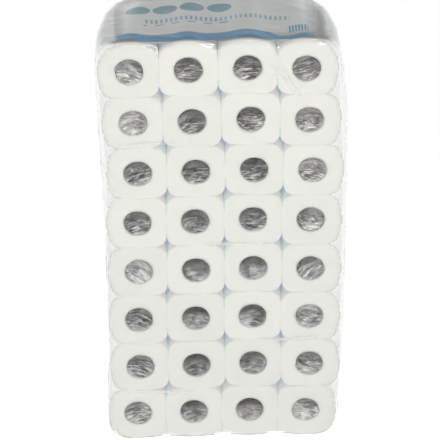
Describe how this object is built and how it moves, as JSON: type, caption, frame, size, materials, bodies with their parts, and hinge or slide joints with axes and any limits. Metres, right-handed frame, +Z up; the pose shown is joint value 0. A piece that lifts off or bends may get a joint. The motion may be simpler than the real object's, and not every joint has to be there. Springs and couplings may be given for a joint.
{
  "type": "toilet paper roll pack",
  "caption": "Tall bulk pack of bathroom tissue rolls, stacked in a close grid with their core ends forward and sealed in a clear printed film.",
  "frame": {"origin": "middle of the base, on the surface that the pack stands on", "axes": "+Z up; the front of the pack, where the core ends show, faces -Y; +X to the right as seen from the front"},
  "size_m": [0.3992, 0.1922, 0.775],
  "materials": {
    "tissue_paper": "soft creped tissue, matt",
    "core_board": "spiral-wound grey board, matt",
    "film": "clear polyethylene film, glossy, slightly hazy"
  },
  "bodies": {
    "root": {"front_roll_row1_col1": "tissue_paper", "front_roll_row1_col2": "tissue_paper", "front_roll_row1_col3": "tissue_paper", "front_roll_row1_col4": "tissue_paper", "front_roll_row2_col1": "tissue_paper", "front_roll_row2_col2": "tissue_paper", "front_roll_row2_col3": "tissue_paper", "front_roll_row2_col4": "tissue_paper", "front_roll_row3_col1": "tissue_paper", "front_roll_row3_col2": "tissue_paper", "front_roll_row3_col3": "tissue_paper", "front_roll_row3_col4": "tissue_paper", "front_roll_row4_col1": "tissue_paper", "front_roll_row4_col2": "tissue_paper", "front_roll_row4_col3": "tissue_paper", "front_roll_row4_col4": "tissue_paper", "front_roll_row5_col1": "tissue_paper", "front_roll_row5_col2": "tissue_paper", "front_roll_row5_col3": "tissue_paper", "front_roll_row5_col4": "tissue_paper", "front_roll_row6_col1": "tissue_paper", "front_roll_row6_col2": "tissue_paper", "front_roll_row6_col3": "tissue_paper", "front_roll_row6_col4": "tissue_paper", "front_roll_row7_col1": "tissue_paper", "front_roll_row7_col2": "tissue_paper", "front_roll_row7_col3": "tissue_paper", "front_roll_row7_col4": "tissue_paper", "front_roll_row8_col1": "tissue_paper", "front_roll_row8_col2": "tissue_paper", "front_roll_row8_col3": "tissue_paper", "front_roll_row8_col4": "tissue_paper", "rear_rolls_row1": "tissue_paper", "rear_rolls_row2": "tissue_paper", "rear_rolls_row3": "tissue_paper", "rear_rolls_row4": "tissue_paper", "rear_rolls_row5": "tissue_paper", "rear_rolls_row6": "tissue_paper", "rear_rolls_row7": "tissue_paper", "rear_rolls_row8": "tissue_paper", "front_cores_row1": "core_board", "front_cores_row2": "core_board", "front_cores_row3": "core_board", "front_cores_row4": "core_board", "front_cores_row5": "core_board", "front_cores_row6": "core_board", "front_cores_row7": "core_board", "front_cores_row8": "core_board", "rear_cores_row1": "core_board", "rear_cores_row2": "core_board", "rear_cores_row3": "core_board", "rear_cores_row4": "core_board", "rear_cores_row5": "core_board", "rear_cores_row6": "core_board", "rear_cores_row7": "core_board", "rear_cores_row8": "core_board", "film_wrap": "film"}
  },
  "joints": []
}
